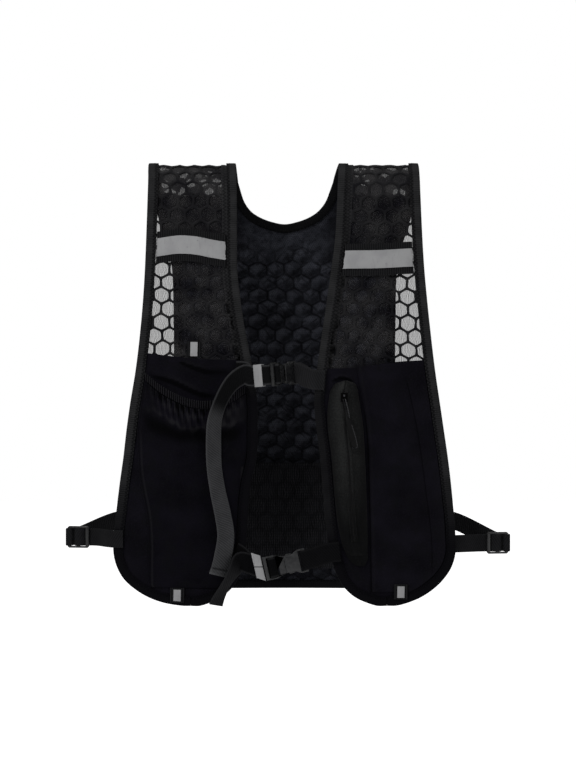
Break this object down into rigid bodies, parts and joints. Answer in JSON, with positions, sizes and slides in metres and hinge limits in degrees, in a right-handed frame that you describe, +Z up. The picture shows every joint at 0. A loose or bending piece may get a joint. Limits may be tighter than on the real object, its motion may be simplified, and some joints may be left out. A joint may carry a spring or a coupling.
{
  "type": "running hydration vest",
  "caption": "Sleeveless running vest of dark mesh with front stowage pockets, bound edges, two buckled front straps and adjustable side straps.",
  "frame": {"origin": "on the line along which the shoulder arches rest, midway between the two arches, at the height of their inner face", "axes": "+Z up, +X to the viewer's right when the front is seen, -Y out of the front panels"},
  "size_m": [0.4219, 0.1352, 0.4174],
  "materials": {
    "net": "open hexagonal knitted mesh",
    "pad": "padded spacer mesh",
    "stretch": "smooth stretch knit",
    "woven": "fine woven face",
    "tape": "ribbed binding tape",
    "webbing": "twill webbing",
    "reflector": "silver reflective tape",
    "plastic": "moulded nylon",
    "metal": "dark painted slider"
  },
  "bodies": {
    "root": {"yoke_left": "net", "yoke_right": "net", "base_left": "stretch", "base_right": "stretch", "pocket_panel_left": "stretch", "pocket_panel_right": "stretch", "bottle_pocket": "stretch", "bottle_elastic": "stretch", "stretch_pocket": "stretch", "zip_pouch": "woven", "zip_chain": "tape", "zip_slider": "metal", "zip_pull": "plastic", "band_left": "webbing", "band_left_reflector": "reflector", "band_right": "webbing", "band_right_reflector": "reflector", "neck_binding": "tape", "arm_binding_left": "tape", "arm_binding_right": "tape", "hem_binding": "tape", "back_panel": "pad", "back_lower_net": "net", "chest_buckle_ladder": "plastic", "chest_buckle_sleeve": "plastic", "chest_strap_left": "webbing", "chest_keeper": "reflector", "chest_strap_right": "webbing", "lower_buckle_ladder": "plastic", "lower_buckle_sleeve": "plastic", "lower_strap_left": "webbing", "lower_keeper": "reflector", "lower_strap_right": "webbing", "side_lock_left": "plastic", "side_strap_front_left": "webbing", "side_strap_back_left": "webbing", "side_lock_right": "plastic", "side_strap_front_right": "webbing", "side_strap_back_right": "webbing", "tab_chest": "webbing", "tab_chest_strip": "reflector", "tab_hem_left": "webbing", "tab_hem_left_strip": "reflector", "tab_hem_right": "webbing", "tab_hem_right_strip": "reflector"}
  },
  "joints": []
}
